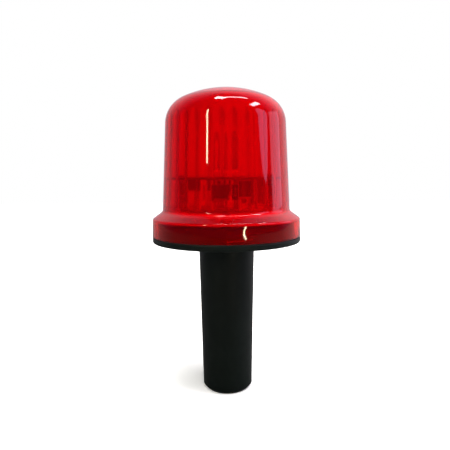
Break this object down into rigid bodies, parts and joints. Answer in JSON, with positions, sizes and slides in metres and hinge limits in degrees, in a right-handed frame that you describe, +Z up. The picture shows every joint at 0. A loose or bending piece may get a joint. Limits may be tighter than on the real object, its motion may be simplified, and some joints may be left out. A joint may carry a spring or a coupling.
{
  "type": "battery warning light",
  "caption": "Red fluted warning light dome on a black flange, over a round battery tube that drops into a traffic cone's mouth; a flash tube, its board and two cells inside.",
  "frame": {"origin": "centre of the battery tube's tip face, the lowest point of the light", "axes": "+Z up along the battery tube to the top of the dome, -Y towards the picture's camera, +X to its right"},
  "size_m": [0.1124, 0.1124, 0.2298],
  "materials": {
    "black_moulding": "fine matt moulded",
    "red_lens": "polished, transparent",
    "gasket_rubber": "moulded",
    "spring_wire": "nickel plated",
    "contact_brass": "rolled",
    "cell_zinc": "drawn zinc",
    "cell_mix": "pressed powder",
    "carbon": "extruded carbon",
    "cell_print": "printed and lacquered",
    "cell_seal": "cast",
    "tin_plate": "bright plated",
    "zinc_screw": "zinc plated",
    "board_laminate": "resist coated laminate",
    "pillar_brass": "turned",
    "ferrite": "ground",
    "bobbin_nylon": "moulded",
    "copper_wire": "enamelled copper",
    "can_aluminium": "drawn",
    "grey_sleeve": "shrunk sleeve",
    "film_dip": "dipped",
    "blue_sleeve": "shrunk sleeve",
    "epoxy_black": "moulded epoxy",
    "plated_copper": "tinned",
    "diode_black": "moulded",
    "resistor_body": "lacquered",
    "lead_tin": "tinned",
    "tube_glass": "clear",
    "nickel": "sintered",
    "socket_white": "moulded",
    "white_moulding": "fine matt moulded",
    "bush_nickel": "nickel plated",
    "button_red": "moulded",
    "wire_red": "extruded insulation",
    "wire_white": "extruded insulation",
    "wire_black": "extruded insulation"
  },
  "bodies": {
    "base": {"base_housing": "black_moulding", "contact_spring": "spring_wire", "negative_strip": "contact_brass", "deck": "white_moulding", "deck_screws": "zinc_screw", "positive_contact": "contact_brass", "negative_contact": "contact_brass", "contact_rivets": "contact_brass", "board_pillars": "pillar_brass", "circuit_board": "board_laminate", "board_screws": "zinc_screw", "transformer_core": "ferrite", "transformer_bobbin": "bobbin_nylon", "transformer_winding": "copper_wire", "capacitor_can": "can_aluminium", "capacitor_sleeve": "grey_sleeve", "trigger_coil_bobbin": "bobbin_nylon", "trigger_coil_winding": "copper_wire", "trigger_capacitor": "film_dip", "timing_capacitor": "blue_sleeve", "transistor_body": "epoxy_black", "transistor_tab": "plated_copper", "rectifier_diodes": "diode_black", "resistors": "resistor_body", "component_leads": "lead_tin", "flash_tube": "tube_glass", "tube_electrodes": "nickel", "tube_sockets": "socket_white", "trigger_wire": "lead_tin", "switch_body": "epoxy_black", "switch_bush": "bush_nickel", "switch_seal": "gasket_rubber", "switch_nut": "bush_nickel", "switch_spring": "spring_wire", "switch_terminals": "lead_tin", "battery_wire": "wire_red", "switch_wire": "wire_white", "negative_wire": "wire_black", "lower_cell_can": "cell_zinc", "lower_cell_mix": "cell_mix", "lower_cell_rod": "carbon", "lower_cell_jacket": "cell_print", "lower_cell_seal": "cell_seal", "lower_cell_cap": "tin_plate", "upper_cell_can": "cell_zinc", "upper_cell_mix": "cell_mix", "upper_cell_rod": "carbon", "upper_cell_jacket": "cell_print", "upper_cell_seal": "cell_seal", "upper_cell_cap": "tin_plate"},
    "gasket": {"lens_gasket": "gasket_rubber"},
    "lens": {"lens": "red_lens"},
    "button": {"switch_button": "button_red"}
  },
  "joints": [
    {"name": "lens_lift", "type": "slide", "parent": "base", "child": "gasket", "axis": [0, 0, 1], "range_m": [0, 0.0102]},
    {"name": "lens_turn", "type": "hinge", "parent": "gasket", "child": "lens", "pos_m": [0, 0, 0.1226], "axis": [0, 0, 1], "range_deg": [0, 150]},
    {"name": "switch_press", "type": "slide", "parent": "base", "child": "button", "axis": [0, 0, 1], "range_m": [0, 0.002], "stiffness_N_per_m": 600, "springref_m": -0.002, "deforming": ["switch_spring"]}
  ],
  "couplings": [
    {"joint": "lens_lift", "follows": "lens_turn", "m_per_rad": 0.0038197}
  ]
}
